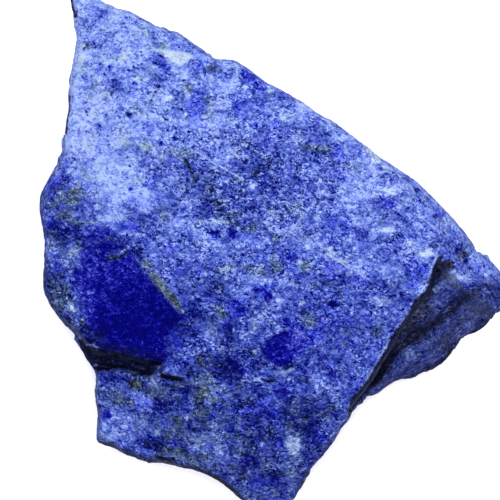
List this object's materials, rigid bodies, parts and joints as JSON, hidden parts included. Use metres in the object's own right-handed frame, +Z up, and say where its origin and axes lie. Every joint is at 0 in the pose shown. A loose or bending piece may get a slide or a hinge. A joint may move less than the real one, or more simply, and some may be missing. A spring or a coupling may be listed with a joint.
{
  "type": "raw lapis lazuli stone",
  "caption": "Rough broken lump of lapis lazuli rock, lying on a flat back fracture with its broad grainy blue face up, a ledge and dark recess at one side.",
  "frame": {"origin": "centre of the bounding box in plan, on the plane of the flat back fracture that the stone rests on", "axes": "+Z up, out of the broad pictured face; +Y towards the pointed tip's end (the top of the picture); +X to the picture's right"},
  "size_m": [0.0796, 0.0884, 0.0397],
  "materials": {
    "lapis": "rough broken rock, granular blue with pale clouds, a deep ultramarine patch and olive flecks"
  },
  "bodies": {
    "root": {"lapis_stone": "lapis"}
  },
  "joints": []
}
